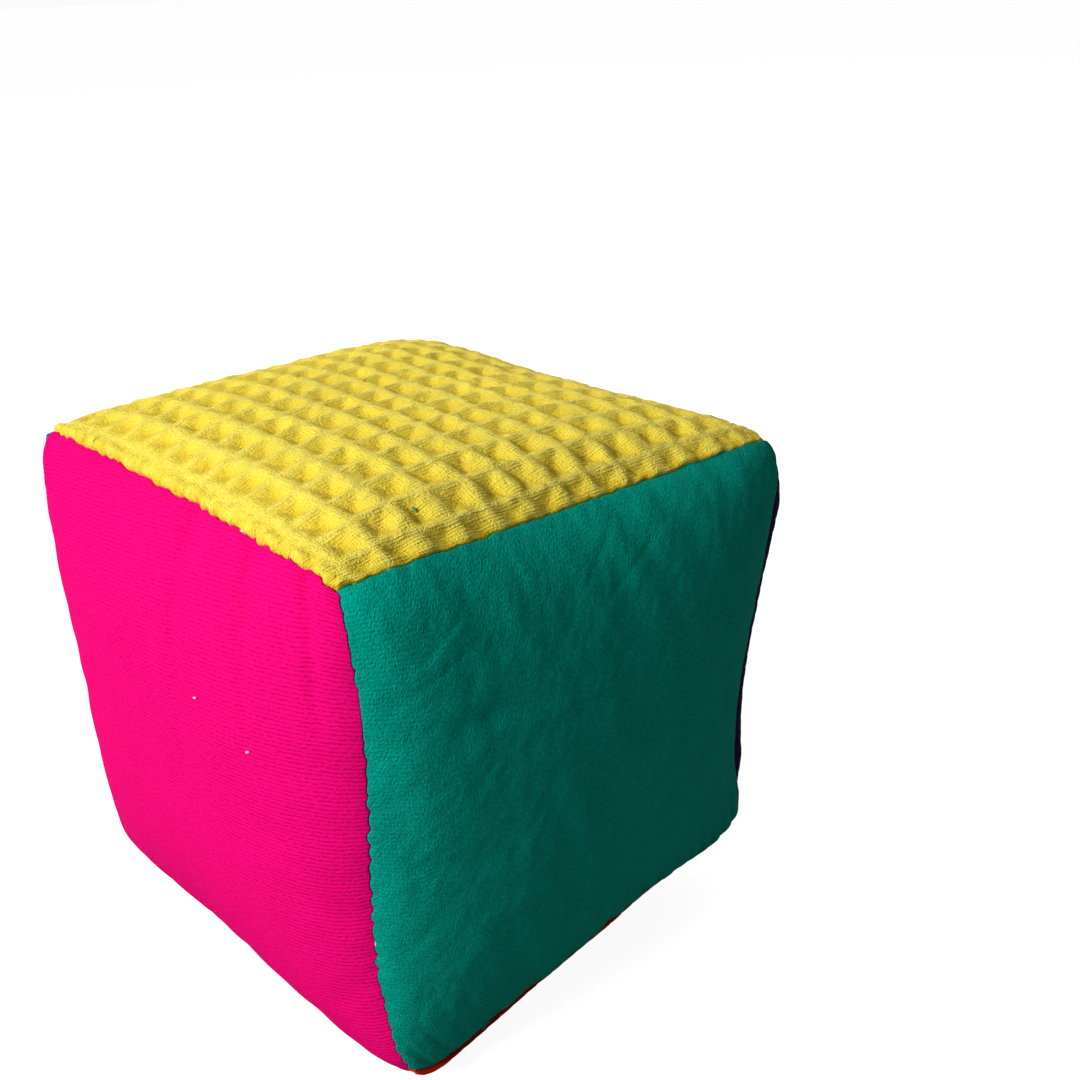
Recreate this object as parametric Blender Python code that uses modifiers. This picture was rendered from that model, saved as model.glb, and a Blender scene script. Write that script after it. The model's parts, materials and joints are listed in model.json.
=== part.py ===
"""Soft sensory block for a small child, in metres, with +Z up.

Six squares of unlike cloth are sewn into a cube, turned, and stuffed with polyester fibre. A
folded ribbon label is caught in the seam of the blue and the purple square. The block stands on
its red square, and the origin is on the surface it stands on, below the middle of the cube.
"""
import math

import bmesh
import bpy
import numpy as np
from mathutils import Matrix, Vector

# The cube, as it would be with straight seams
seam_length = 0.100

# How the filling shapes it
crown_height = 0.008        # rise of a square's middle past its drawn-in seams
crown_power = 2.6           # how squarely a crown fills its seams
pressed_power = 3.4         # the same for the square that the block presses on the table
thick_power = 3.0           # the same for the thick waffle cloth
seam_pull = 0.0028          # how far a seam is drawn in at its middle, along each axis
corner_pull = 0.0026        # how far the filling leaves a corner unfilled, along each axis
corner_power = 8            # how near the corner that rounding begins
flat_depth = 0.0005         # how deep the red crown is pressed flat where it stands

# Ripples of the red cloth, which is eased into its seam with the magenta one
ripples = 8
ripple_height = 0.0016
ripple_start = 0.004        # from the seam to where a ripple is full
ripple_reach = 0.038        # from the seam to where it has died away

# Ridges and pits of the yellow waffle cloth
column_start, column_pitch = 0.0040, 0.0070    # ridges from the blue seam
row_start, row_pitch = 0.0037, 0.0073          # ridges from the magenta seam
waffle_depth = 0.0013                          # from where the ridges cross down to a pit
whole_cell_share = 0.99                        # of a pitch, from which a cell has its pit

# What the hand sewing leaves uneven
corner_drift = 0.004        # the most that a corner strays
seam_wander = 0.002         # the most that a seam snakes to either side

# Cloths
waffle_cloth = 0.0020       # from its ridges to its back
drill_cloth = 0.0006
crepe_cloth = 0.0006
brushed_cloth = 0.0007
canvas_cloth = 0.0007
plain_cloth = 0.0005

# Seams
allowance_depth = 0.0065    # width of the turned-in edge of each square
thread_diameter = 0.0004
stitch_length = 0.0033
thread_dip = 0.0006         # how deep each stitch sinks below the one before it
thread_inset = 0.0028       # from a corner to the thread's end
clearance = 0.0003          # between a piece and its neighbour

# Ribbon label
label_width = 0.030         # along the seam
label_reach = 0.028         # from the seam to the fold
label_centre_share = -0.26  # of half the seam, from its middle: nearer the red square
ribbon_thickness = 0.0002
ply_gap = 0.0003            # air between the two layers
label_lift = math.radians(38)    # from the purple square's plane, where the ribbon leaves the seam
label_curl = math.radians(24)    # how much further it turns away by its fold

panel_cells = 12            # grid of each square
ripple_cells = 4            # grid along the rippled seam, for each ripple
core_cells = 10             # grid of each side of the filling
crowding_share = 0.4        # how much the grid crowds towards the seams

half = seam_length / 2
seam_gap = thread_diameter + 2 * clearance
gap_shift = seam_gap / 2 * math.sqrt(2)    # along a square's normal, to open the gap at 45 degrees

# Each square: outward normal and the two directions of its grid
SQUARES = {
    "yellow": ((0, 0, 1), (1, 0, 0), (0, 1, 0)),
    "red": ((0, 0, -1), (0, 1, 0), (1, 0, 0)),
    "green": ((1, 0, 0), (0, 1, 0), (0, 0, 1)),
    "blue": ((-1, 0, 0), (0, 0, 1), (0, 1, 0)),
    "magenta": ((0, -1, 0), (1, 0, 0), (0, 0, 1)),
    "purple": ((0, 1, 0), (0, 0, 1), (1, 0, 0)),
}

# Each seam, by the signs of the side it runs along
SEAMS = {
    "magenta_red": (0, -1, -1), "magenta_yellow": (0, -1, 1),
    "purple_red": (0, 1, -1), "purple_yellow": (0, 1, 1),
    "blue_red": (-1, 0, -1), "blue_yellow": (-1, 0, 1),
    "green_red": (1, 0, -1), "green_yellow": (1, 0, 1),
    "magenta_blue": (-1, -1, 0), "purple_blue": (-1, 1, 0),
    "magenta_green": (1, -1, 0), "purple_green": (1, 1, 0),
}

# Rise of each square, as shares of crown_height
crown_shares = {"yellow": 1.12, "red": 1.0, "green": 1.4, "blue": 1.0, "magenta": 1.2, "purple": 1.0}

# How far each seam is drawn in, along X, Y and Z, as shares of seam_pull
seam_pull_shares = {
    "magenta_red": (0, 0.7, 0.9), "magenta_yellow": (0, 1.15, 0.6),
    "purple_red": (0, 1, 1), "purple_yellow": (0, 1, 1.3),
    "blue_red": (1, 0, 1), "blue_yellow": (0.7, 0, 0.7),
    "green_red": (0.15, 0, 0.9), "green_yellow": (0.95, 0, 0.8),
    "magenta_blue": (0.7, 0.2, 0), "purple_blue": (1, 1, 0),
    "magenta_green": (0.8, 0.2, 0), "purple_green": (1.25, 1, 0),
}

# How far each seam snakes, along X, Y and Z, as shares of seam_wander
seam_wander_shares = {
    "magenta_red": (0, 0.25, -0.35), "magenta_yellow": (0, -0.2, 0.1),
    "purple_yellow": (0, -0.3, 0), "blue_yellow": (-0.8, 0, 0.2),
    "green_red": (0.7, 0, 0.8), "green_yellow": (-0.3, 0, -0.1),
    "magenta_blue": (-0.15, -0.3, 0), "magenta_green": (1, 0.45, 0),
    "purple_green": (0.5, 0.85, 0),
}

# Where each corner strays, as shares of corner_drift
corner_drift_shares = {
    (-1, -1, -1): (-0.25, 0.1, 0.4), (-1, -1, 1): (-0.3, -0.2, 0.8),
    (-1, 1, 1): (0, -0.1, -0.5), (1, -1, -1): (0.3, 0.35, -0.1),
    (1, -1, 1): (-0.25, -0.55, 0), (1, 1, -1): (-0.25, 0.55, 1),
    (1, 1, 1): (0.9, 0.3, -0.4),
}


def corner_point(signs):
    """A corner of the cube, with its drift, before the corners are rounded off."""
    drift = np.array(corner_drift_shares.get(tuple(signs), (0, 0, 0)), float) * corner_drift
    return np.array(signs, float) * half + drift


def seam_point(name, r):
    """The seam's line, from r = -1 to 1 along its own axis."""
    signs = SEAMS[name]
    axis = signs.index(0)
    low, high = list(signs), list(signs)
    low[axis], high[axis] = -1, 1
    start, end = corner_point(low), corner_point(high)
    pull = -np.array(signs, float) * np.array(seam_pull_shares[name]) * seam_pull
    wander = np.array(seam_wander_shares.get(name, (0, 0, 0))) * seam_wander
    line = start + (end - start) * (r + 1) / 2
    line = line + pull * (1 - r * r) + wander * 2.6 * r * (1 - r * r)
    rounded = np.array(high if r > 0 else low, float) * corner_pull * abs(r) ** corner_power
    return line - rounded


def seam_between(signs):
    """The name of the seam along the side that these signs give."""
    return next(name for name, own in SEAMS.items() if own == tuple(int(s) for s in signs))


def lattice_point(square, u, v):
    """A point of the surface stretched between a square's four seams, with no crown."""
    normal, along, across = (np.array(side, int) for side in SQUARES[square])
    low_v = seam_point(seam_between(normal - across), u)
    high_v = seam_point(seam_between(normal + across), u)
    low_u = seam_point(seam_between(normal - along), v)
    high_u = seam_point(seam_between(normal + along), v)
    fu, fv = (u + 1) / 2, (v + 1) / 2
    ends = 0
    for su, wu in ((-1, 1 - fu), (1, fu)):
        for sv, wv in ((-1, 1 - fv), (1, fv)):
            signs = normal + su * along + sv * across
            ends = ends + wu * wv * (corner_point(signs) - signs * corner_pull)
    return (1 - fv) * low_v + fv * high_v + (1 - fu) * low_u + fu * high_u - ends


def fullness(square, u, v):
    """How much of its crown a square has at a point: 1 in its middle and 0 at its seams."""
    power = {"red": pressed_power, "yellow": thick_power}.get(square, crown_power)
    return (1 - abs(u) ** power) * (1 - abs(v) ** power)


def crown_rise(square, u, v, base):
    """How far the filling pushes a square out; the red one it presses level on the table."""
    rise = crown_height * crown_shares[square]
    if square == "red":
        rise = rise + base[2] - lattice_point(square, 0, 0)[2]
    return rise


def ripple_rise(u, v):
    """How far the red cloth ripples out, with u across from its magenta seam and v along it."""
    reach = (u + 1) * half
    fade = max(1 - reach / ripple_reach, 0) ** 2 * min(reach / ripple_start, 1)
    return ripple_height * fade * (1 - math.cos((v + 1) * math.pi * ripples)) / 2


def cloth_point(square, u, v):
    """A point of a square's outer face, about the cube's middle."""
    normal = np.array(SQUARES[square][0], float)
    base = lattice_point(square, u, v)
    rise = crown_rise(square, u, v, base) * fullness(square, u, v)
    if square == "red":
        rise = rise + ripple_rise(u, v)
    return base + normal * (rise + gap_shift)


def crowd(t):
    """Grid places, closer together near the seams, where the cloth curves most."""
    return (1 - crowding_share) * t + crowding_share * math.sin(t * math.pi / 2)


# The block's middle stands above the table by the red crown's depth, less what is pressed flat
middle = Vector((0, 0, -cloth_point("red", 0, 0)[2] - flat_depth))

collection = bpy.data.collections.new("soft_fabric_block")
for old in list(bpy.data.objects):
    bpy.data.objects.remove(old, do_unlink=True)
bpy.context.scene.collection.children.link(collection)


def material(name, colour, roughness):
    """A plain Principled material with the piece's colour."""
    mat = bpy.data.materials.new(name)
    mat.use_nodes = True
    shader = mat.node_tree.nodes["Principled BSDF"]
    shader.inputs["Base Color"].default_value = (*colour, 1)
    shader.inputs["Roughness"].default_value = roughness
    shader.inputs["Metallic"].default_value = 0
    return mat


def add(name, data, mat, smooth=True):
    """A named object in the block's collection."""
    item = bpy.data.objects.new(name, data)
    collection.objects.link(item)
    data.materials.append(mat)
    if smooth and isinstance(data, bpy.types.Mesh):
        data.shade_smooth()
    return item


def ridge_lines(start, pitch):
    """Grid places across the waffle square: its two seams, and each ridge between them."""
    count = math.ceil((seam_length - start * 1.5) / pitch)
    return [-1] + [(start + k * pitch) / half - 1 for k in range(count)] + [1]


def grid_lines(square):
    """Grid places along and across a square, from -1 at one seam to 1 at the other."""
    crowded = [crowd(2 * k / panel_cells - 1) for k in range(panel_cells + 1)]
    if square == "red":
        count = ripples * ripple_cells
        return crowded, [2 * k / count - 1 for k in range(count + 1)]
    if square == "yellow":
        return ridge_lines(column_start, column_pitch), ridge_lines(row_start, row_pitch)
    return crowded, crowded


def line_place(lines, index):
    """The place of a grid index, or of one halfway between two lines; the rim repeats the seam."""
    low, high = (min(max(k - 1, 0), len(lines) - 1) for k in (math.floor(index), math.ceil(index)))
    return (lines[low] + lines[high]) / 2


def add_panel(square, cloth, colour, roughness):
    """One cloth square: its crowned face and its four turned-in edges, as one tray."""
    lines = grid_lines(square)
    rings = [len(line) + 1 for line in lines]
    bm = bmesh.new()
    bmesh.ops.create_grid(bm, x_segments=rings[0], y_segments=rings[1], size=1)
    if square == "yellow":
        pits = []
        for face in bm.faces:
            middles = [(c + 1) * ring / 2 for c, ring in zip(face.calc_center_median(), rings)]
            widths = [line_place(line, math.ceil(k)) - line_place(line, math.floor(k))
                      for line, k in zip(lines, middles)]
            if widths[0] * half > column_pitch * whole_cell_share:
                if widths[1] * half > row_pitch * whole_cell_share:
                    pits.append(face)
        bmesh.ops.poke(bm, faces=pits)
        cloth = cloth - waffle_depth
    inward = allowance_depth / (half * math.sqrt(2))
    normal = np.array(SQUARES[square][0], float)
    for vert in bm.verts:
        places = [round((c + 1) * ring) / 2 for c, ring in zip(vert.co, rings)]
        u, v = (line_place(line, k) for line, k in zip(lines, places))
        point = cloth_point(square, u, v)
        if places[0] % 1:
            point = point - normal * waffle_depth
        if places[0] in (0, rings[0]) or places[1] in (0, rings[1]):
            edge = point - normal * gap_shift
            point = edge * (1 - inward) + normal * gap_shift
        vert.co = Vector(point) + middle
        if square == "red":
            vert.co.z = max(vert.co.z, 0)
    bmesh.ops.remove_doubles(bm, verts=bm.verts, dist=cloth / 20)
    bmesh.ops.recalc_face_normals(bm, faces=bm.faces)
    face = max(bm.faces, key=lambda f: f.calc_center_median().dot(Vector(normal)))
    if face.normal.dot(Vector(normal)) < 0:
        bmesh.ops.reverse_faces(bm, faces=bm.faces)
    mesh = bpy.data.meshes.new("panel_" + square)
    bm.to_mesh(mesh)
    bm.free()
    item = add("panel_" + square, mesh, material(square + "_cloth", colour, roughness))
    shell = item.modifiers.new("cloth", "SOLIDIFY")
    shell.thickness = cloth
    shell.offset = -1
    shell.use_even_offset = True
    return item


cloths = {
    "yellow": (waffle_cloth, (0.73, 0.53, 0.05), 0.95),
    "magenta": (drill_cloth, (0.93, 0.004, 0.20), 0.85),
    "green": (crepe_cloth, (0.0, 0.16, 0.11), 0.9),
    "purple": (brushed_cloth, (0.09, 0.035, 0.15), 0.95),
    "blue": (canvas_cloth, (0.01, 0.10, 0.48), 0.9),
    "red": (plain_cloth, (0.70, 0.01, 0.0), 0.85),
}
for square, (cloth, colour, roughness) in cloths.items():
    add_panel(square, cloth, colour, roughness)


# Filling: one body that follows the squares from inside and stops short of their turned-in edges
core_share = 1 - (allowance_depth / math.sqrt(2) + 2 * clearance) / half
core_clearance = 1.5 * clearance
bm = bmesh.new()
bmesh.ops.create_cube(bm, size=2)
bmesh.ops.subdivide_edges(bm, edges=bm.edges, cuts=core_cells - 1, use_grid_fill=True)
for vert in bm.verts:
    co = np.array(vert.co)
    square = max(SQUARES, key=lambda s: float(co @ np.array(SQUARES[s][0])))
    normal, along, across = (np.array(side, float) for side in SQUARES[square])
    u, v = crowd(float(co @ along)), crowd(float(co @ across))
    base = lattice_point(square, u, v)
    lag = (1 - core_share) * float(lattice_point(square, 0, 0) @ normal)
    rise = crown_rise(square, u, v, base) + lag + gap_shift - cloths[square][0] - core_clearance
    point = base * core_share + normal * rise * fullness(square, u, v)
    vert.co = Vector(point) + middle
    if square == "red":
        vert.co.z = max(vert.co.z, cloths[square][0] + core_clearance)
mesh = bpy.data.meshes.new("stuffing")
bm.to_mesh(mesh)
bm.free()
add("stuffing", mesh, material("polyester_fibre", (0.8, 0.8, 0.78), 1))


# Thread: one line of stitches down each seam, in the groove between the two turned-in edges
white_thread = material("white_thread", (0.85, 0.83, 0.78), 0.7)
rim = seam_gap / 2
shallow = rim - thread_diameter * 0.9
for name, signs in SEAMS.items():
    inset = thread_inset / half
    stitches = round(seam_length * (1 - inset) / stitch_length)
    count = 2 * stitches + 1
    outward = Vector(signs).normalized()
    curve = bpy.data.curves.new("seam_" + name, "CURVE")
    curve.dimensions = "3D"
    spline = curve.splines.new("POLY")
    spline.points.add(count - 1)
    for k, point in enumerate(spline.points):
        r = (1 - inset) * (2 * k / (count - 1) - 1)
        depth = shallow - (thread_dip if k % 2 else 0)
        co = Vector(seam_point(name, r)) + outward * depth + middle
        point.co = (*co, 1)
    curve.bevel_depth = thread_diameter / 2
    curve.bevel_resolution = 0
    curve.use_fill_caps = True
    add("seam_" + name, curve, white_thread)


# Label: its two ends lie between the blue and purple edges, and the folded part flaps outside
label_mat = material("label_ribbon", (0.86, 0.87, 0.9), 0.6)
blue_normal, purple_normal = (Vector(SQUARES[s][0]) for s in ("blue", "purple"))
outward = (blue_normal + purple_normal).normalized()
label_half_share = label_width / seam_length
tail_top = shallow - thread_dip - thread_diameter / 2 - clearance
tail_depth = allowance_depth * 0.8

bm = bmesh.new()
bmesh.ops.create_grid(bm, x_segments=6, y_segments=1, size=1)
for vert in bm.verts:
    r = label_centre_share + vert.co.x * label_half_share
    depth = tail_top if vert.co.y > 0 else -tail_depth
    vert.co = Vector(seam_point("purple_blue", r)) + outward * depth + middle
mesh = bpy.data.meshes.new("label_tails")
bm.to_mesh(mesh)
bm.free()
tails = add("label_tails", mesh, label_mat)
plies = tails.modifiers.new("two layers", "SOLIDIFY")
plies.thickness = seam_gap - 2 * clearance
plies.offset = 0
plies.use_even_offset = True

flap_thickness = 2 * ribbon_thickness + ply_gap
root_height = rim + clearance + flap_thickness / 2 / math.cos(label_lift - math.pi / 4) + seam_gap / 8
ends = [Vector(seam_point("purple_blue", label_centre_share + side * label_half_share)) + middle
        for side in (-1, 1)]
hinge_axis = (ends[1] - ends[0]).normalized()
hinge_point = (ends[0] + ends[1]) / 2 + outward * root_height
off_purple = hinge_axis.cross(Vector((1, 0, 0))).normalized()
over_purple = off_purple.cross(hinge_axis)
ply_offset = (ply_gap + ribbon_thickness) / 2
arm_steps, fold_steps = 8, 6
path_steps = 2 * arm_steps + fold_steps


def along_label(s):
    """The label's middle line, from its seam at s = 0 to its fold at s = 1, and its heading."""
    heading = label_lift + label_curl * s
    x = (math.sin(heading) - math.sin(label_lift)) / label_curl
    y = (math.cos(label_lift) - math.cos(heading)) / label_curl
    return x * (label_reach - ply_offset), y * (label_reach - ply_offset), heading


def label_path(k):
    """A point of the ribbon's middle: out along the inner layer, round the fold and back."""
    if k <= arm_steps or k >= arm_steps + fold_steps:
        s = k / arm_steps if k <= arm_steps else (path_steps - k) / arm_steps
        side = -1 if k <= arm_steps else 1
        x, y, heading = along_label(s)
        return x - side * ply_offset * math.sin(heading), y + side * ply_offset * math.cos(heading)
    x, y, heading = along_label(1)
    turn = heading - math.pi / 2 + math.pi * (k - arm_steps) / fold_steps
    return x + ply_offset * math.cos(turn), y + ply_offset * math.sin(turn)


bm = bmesh.new()
bmesh.ops.create_grid(bm, x_segments=path_steps, y_segments=3, size=1)
for vert in bm.verts:
    x, y = label_path(round((vert.co.x + 1) / 2 * path_steps))
    vert.co = over_purple * x + off_purple * y + hinge_axis * vert.co.y * label_width / 2
mesh = bpy.data.meshes.new("label_flap")
bm.to_mesh(mesh)
bm.free()
flap = add("label_flap", mesh, label_mat)
flap.location = hinge_point
ribbon = flap.modifiers.new("ribbon", "SOLIDIFY")
ribbon.thickness = ribbon_thickness
ribbon.offset = 0
ribbon.use_even_offset = True

print("hinge point", tuple(round(c, 6) for c in hinge_point))
print("hinge axis", tuple(round(c, 6) for c in hinge_axis))
print("middle", round(middle.z, 6))
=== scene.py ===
"""Soft sensory block: six unlike cloth squares sewn into a cube, stuffed, with a ribbon label."""
import json
import math

import bmesh
import bpy
import numpy as np
from mathutils import Matrix, Vector


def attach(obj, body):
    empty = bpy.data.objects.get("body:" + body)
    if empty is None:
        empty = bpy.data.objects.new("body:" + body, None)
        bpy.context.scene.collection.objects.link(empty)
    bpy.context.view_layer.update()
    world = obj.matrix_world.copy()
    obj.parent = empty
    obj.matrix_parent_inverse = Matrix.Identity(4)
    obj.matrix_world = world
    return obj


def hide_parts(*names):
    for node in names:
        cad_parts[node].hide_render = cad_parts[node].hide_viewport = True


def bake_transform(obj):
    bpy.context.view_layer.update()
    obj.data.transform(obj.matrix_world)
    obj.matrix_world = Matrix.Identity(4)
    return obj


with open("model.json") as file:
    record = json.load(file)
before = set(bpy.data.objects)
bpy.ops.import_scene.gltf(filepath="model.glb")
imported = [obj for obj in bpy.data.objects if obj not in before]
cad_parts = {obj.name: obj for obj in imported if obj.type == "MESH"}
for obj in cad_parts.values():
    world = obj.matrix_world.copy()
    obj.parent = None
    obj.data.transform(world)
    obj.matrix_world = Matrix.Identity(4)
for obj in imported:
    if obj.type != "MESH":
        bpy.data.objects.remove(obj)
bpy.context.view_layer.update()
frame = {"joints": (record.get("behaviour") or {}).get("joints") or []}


# The filling: one soft core of polyester fibre, pushed in by hand through a gap in the last
# seam. It gives the cube its form: crowned squares, seams drawn in at their middles, corners
# left slightly empty, and the unevenness of sewing and stuffing by hand.
seam_length = 0.100
half = seam_length / 2
middle_height = 0.054187
middle = np.array([0, 0, middle_height])
crown_height = 0.008
usual_crown_power = 2.6
crown_power = {"red": 3.4, "yellow": 3.0}
seam_pull = 0.0028
corner_pull = 0.0026
corner_tightness = 8
corner_drift = 0.004
seam_wander = 0.002
snake_swing = 2.6
seam_gap = 0.00003

# The outward normal of each square, and the two ways across it. They are n, a and b in what
# follows, and u and v run from -1 to 1 along a and b.
sides = {
    "yellow": ((0, 0, 1), (1, 0, 0), (0, 1, 0)),
    "red": ((0, 0, -1), (0, 1, 0), (1, 0, 0)),
    "green": ((1, 0, 0), (0, 1, 0), (0, 0, 1)),
    "blue": ((-1, 0, 0), (0, 0, 1), (0, 1, 0)),
    "magenta": ((0, -1, 0), (1, 0, 0), (0, 0, 1)),
    "purple": ((0, 1, 0), (0, 0, 1), (1, 0, 0)),
}
seams = {
    (0, -1, -1): "magenta_red", (0, -1, 1): "magenta_yellow",
    (0, 1, -1): "purple_red", (0, 1, 1): "purple_yellow",
    (-1, 0, -1): "blue_red", (-1, 0, 1): "blue_yellow",
    (1, 0, -1): "green_red", (1, 0, 1): "green_yellow",
    (-1, -1, 0): "magenta_blue", (-1, 1, 0): "purple_blue",
    (1, -1, 0): "magenta_green", (1, 1, 0): "purple_green",
}

# Shares of the lengths above: how full each square is held, how far each seam is drawn in at its
# middle, how far it snakes, and how far each corner strays
fill = {"yellow": 1.12, "red": 1.0, "green": 1.4, "blue": 1.0, "magenta": 1.2, "purple": 1.0}
drawn_in = {
    "magenta_red": (0, 0.7, 0.9), "magenta_yellow": (0, 1.15, 0.6),
    "purple_red": (0, 1, 1), "purple_yellow": (0, 1, 1.3),
    "blue_red": (1, 0, 1), "blue_yellow": (0.7, 0, 0.35),
    "green_red": (0.15, 0, 0.9), "green_yellow": (0.95, 0, 0.8),
    "magenta_blue": (0.45, 0.2, 0), "purple_blue": (1, 1, 0),
    "magenta_green": (0.8, 0.2, 0), "purple_green": (1.45, 1.1, 0),
}
snaking = {
    "magenta_red": (0, 0.25, -0.35), "magenta_yellow": (0, -0.2, 0.1),
    "purple_yellow": (0, -0.3, 0), "blue_yellow": (-0.8, 0, 0.2),
    "green_red": (0.7, 0, 0.8), "green_yellow": (-0.3, 0, -0.1),
    "magenta_blue": (-0.15, -0.3, 0), "magenta_green": (1, 0.45, 0),
    "purple_green": (0.5, 0.85, 0),
}
strayed = {
    (-1, -1, -1): (-0.25, 0.1, 0.4), (-1, -1, 1): (-0.05, -0.1, 0.65),
    (-1, 1, 1): (0, -0.1, -0.5), (1, -1, -1): (0.3, 0.35, -0.1),
    (1, -1, 1): (-0.25, -0.55, 0), (1, 1, -1): (-0.35, 0.5, 1.1),
    (1, 1, 1): (0.9, 0.3, -0.6),
}


def corner_spot(signs):
    """Where a corner of the cube lies about its middle, with each sign -1 or 1."""
    key = tuple(int(s) for s in signs)
    return np.array(key, float) * half + np.array(strayed.get(key, (0, 0, 0))) * corner_drift


def seam_line(signs, r):
    """The seam along one side of the cube, for an array r from -1 to 1."""
    signs = [int(s) for s in signs]
    name = seams[tuple(signs)]
    axis = signs.index(0)
    low, high = list(signs), list(signs)
    low[axis], high[axis] = -1, 1
    start, end = corner_spot(low), corner_spot(high)
    pull = -np.array(signs, float) * np.array(drawn_in[name]) * seam_pull
    snake = np.array(snaking.get(name, (0, 0, 0))) * seam_wander
    r = np.asarray(r, float)[..., None]
    line = start + (end - start) * (r + 1) / 2 + pull * (1 - r * r)
    line = line + snake * snake_swing * r * (1 - r * r)
    nearest = np.where(r > 0, np.array(high), np.array(low))
    return line - nearest * corner_pull * np.abs(r) ** corner_tightness


def stretched(side, u, v):
    """The surface that a square's four seams would stretch between them with no filling."""
    n, a, b = (np.array(d) for d in sides[side])
    fu, fv = ((u + 1) / 2)[..., None], ((v + 1) / 2)[..., None]
    ends = 0
    for su, wu in ((-1, 1 - fu), (1, fu)):
        for sv, wv in ((-1, 1 - fv), (1, fv)):
            signs = n + su * a + sv * b
            ends = ends + wu * wv * (corner_spot(signs) - signs * corner_pull)
    return ((1 - fv) * seam_line(n - b, u) + fv * seam_line(n + b, u)
            + (1 - fu) * seam_line(n - a, v) + fu * seam_line(n + a, v) - ends)


def crowned(side, u, v):
    """A square as the filling holds it out, about the cube's middle."""
    n = np.array(sides[side][0], float)
    power = crown_power.get(side, usual_crown_power)
    full = (1 - np.abs(u) ** power) * (1 - np.abs(v) ** power)
    base = stretched(side, u, v)
    rise = crown_height * fill[side]
    if side == "red":
        rise = rise + base[..., 2] - stretched(side, np.zeros(1), np.zeros(1))[0, 2]
    return base + n * (rise * full + seam_gap)[..., None]


def uneven(u, v, wide, tall, seed):
    """A smooth random swell from -1 to 1 over a square, in lumps of the size given."""
    margin = 2
    x = (u + 1) * half / wide + margin
    y = (v + 1) * half / tall + margin
    size = (int(x.max()) + margin + 1, int(y.max()) + margin + 1)
    grid = np.random.default_rng(seed).uniform(-1, 1, size)
    i, j = x.astype(int), y.astype(int)
    s, t = x - i, y - j
    s, t = s * s * (3 - 2 * s), t * t * (3 - 2 * t)
    near = grid[i, j] * (1 - s) + grid[i + 1, j] * s
    far = grid[i, j + 1] * (1 - s) + grid[i + 1, j + 1] * s
    return near * (1 - t) + far * t


cloth_gloss = 0.015
sheen_roughness = 0.5


def add_node(tree, kind, inputs=None, **settings):
    """A shader node, with its inputs by name or number, each a value or another node's socket."""
    node = tree.nodes.new("ShaderNode" + kind)
    for key, value in settings.items():
        setattr(node, key, value)
    for key, value in (inputs or {}).items():
        if isinstance(value, bpy.types.NodeSocket):
            tree.links.new(value, node.inputs[key])
        else:
            node.inputs[key].default_value = value
    return node


def calc(tree, operation, *values):
    """The result of a Math node."""
    return add_node(tree, "Math", dict(enumerate(values)), operation=operation).outputs[0]


def plain_finish(name, roughness, sheen=0):
    """A material with one Principled shader, its node tree, and that shader."""
    material = bpy.data.materials.new(name)
    material.use_nodes = True
    tree = material.node_tree
    shader = tree.nodes["Principled BSDF"]
    shader.inputs["Roughness"].default_value = roughness
    shader.inputs["Specular IOR Level"].default_value = cloth_gloss
    shader.inputs["Sheen Weight"].default_value = sheen
    shader.inputs["Sheen Roughness"].default_value = sheen_roughness
    return material, tree, shader


def blotches(tree, spot, wide, tall, detail=2):
    """Soft random patches, in the units of the spot that it is given."""
    scaled = add_node(tree, "VectorMath", {0: spot, 1: (1 / wide, 1 / tall, 1)}, operation="MULTIPLY")
    noise = add_node(tree, "TexNoise", {"Vector": scaled.outputs[0], "Scale": 1, "Detail": detail})
    return noise.outputs["Fac"]


def raise_grain(tree, shader, height, depth):
    """Gives a material the fine relief of its weave, as deep as the depth in metres."""
    bump = add_node(tree, "Bump", {"Height": height, "Distance": depth, "Strength": 1})
    tree.links.new(bump.outputs["Normal"], shader.inputs["Normal"])


def tint(tree, shader, amount, low, high):
    """Colours a material between two shades, by an amount from 0 to 1, and gives the result."""
    mix = add_node(tree, "Mix", {0: amount, 6: (*low, 1), 7: (*high, 1)}, data_type="RGBA")
    tree.links.new(mix.outputs[2], shader.inputs["Base Color"])
    return mix.outputs[2]


def mesh_of(bm, name):
    """The smooth mesh that is built in bm, which is freed."""
    mesh = bpy.data.meshes.new(name)
    bm.to_mesh(mesh)
    bm.free()
    mesh.shade_smooth()
    return mesh


def new_piece(name, data, material, *nodes, body="block"):
    """A piece in the scene that stands for nodes of the frame, and rides on a body if one is given."""
    item = bpy.data.objects.new(name, data)
    bpy.context.scene.collection.objects.link(item)
    data.materials.append(material)
    if body:
        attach(item, body)
    if nodes:
        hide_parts(*nodes)
    return item


wool, tree, shader = plain_finish("polyester fibre", roughness=1)
place = add_node(tree, "TexCoord").outputs["Object"]
fibre_tuft = 0.0011
tangle = blotches(tree, place, fibre_tuft, fibre_tuft, detail=6)
tint(tree, shader, tangle, (0.7, 0.7, 0.68), (0.9, 0.9, 0.88))
raise_grain(tree, shader, tangle, depth=0.0006)

core_cells = 16
core_share = 0.89
core_gap = 0.0042
core_lump = 0.0004
lumps = np.random.default_rng(7)
bm = bmesh.new()
bmesh.ops.create_cube(bm, size=2)
bmesh.ops.subdivide_edges(bm, edges=bm.edges, cuts=core_cells - 1, use_grid_fill=True)
for vert in bm.verts:
    co = np.array(vert.co)
    side = max(sides, key=lambda s: float(co @ np.array(sides[s][0])))
    n, a, b = (np.array(d, float) for d in sides[side])
    u, v = np.array([co @ a]), np.array([co @ b])
    full = float(((1 - np.abs(u) ** usual_crown_power) * (1 - np.abs(v) ** usual_crown_power))[0])
    inner = stretched(side, u, v)[0] * core_share
    rise = crown_height * fill[side] + (1 - core_share) * half - core_gap
    inner = inner + n * (rise * full - core_lump * lumps.random())
    vert.co = Vector(inner + middle)
filling = new_piece("filling", mesh_of(bm, "filling"), wool, "stuffing")


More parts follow.
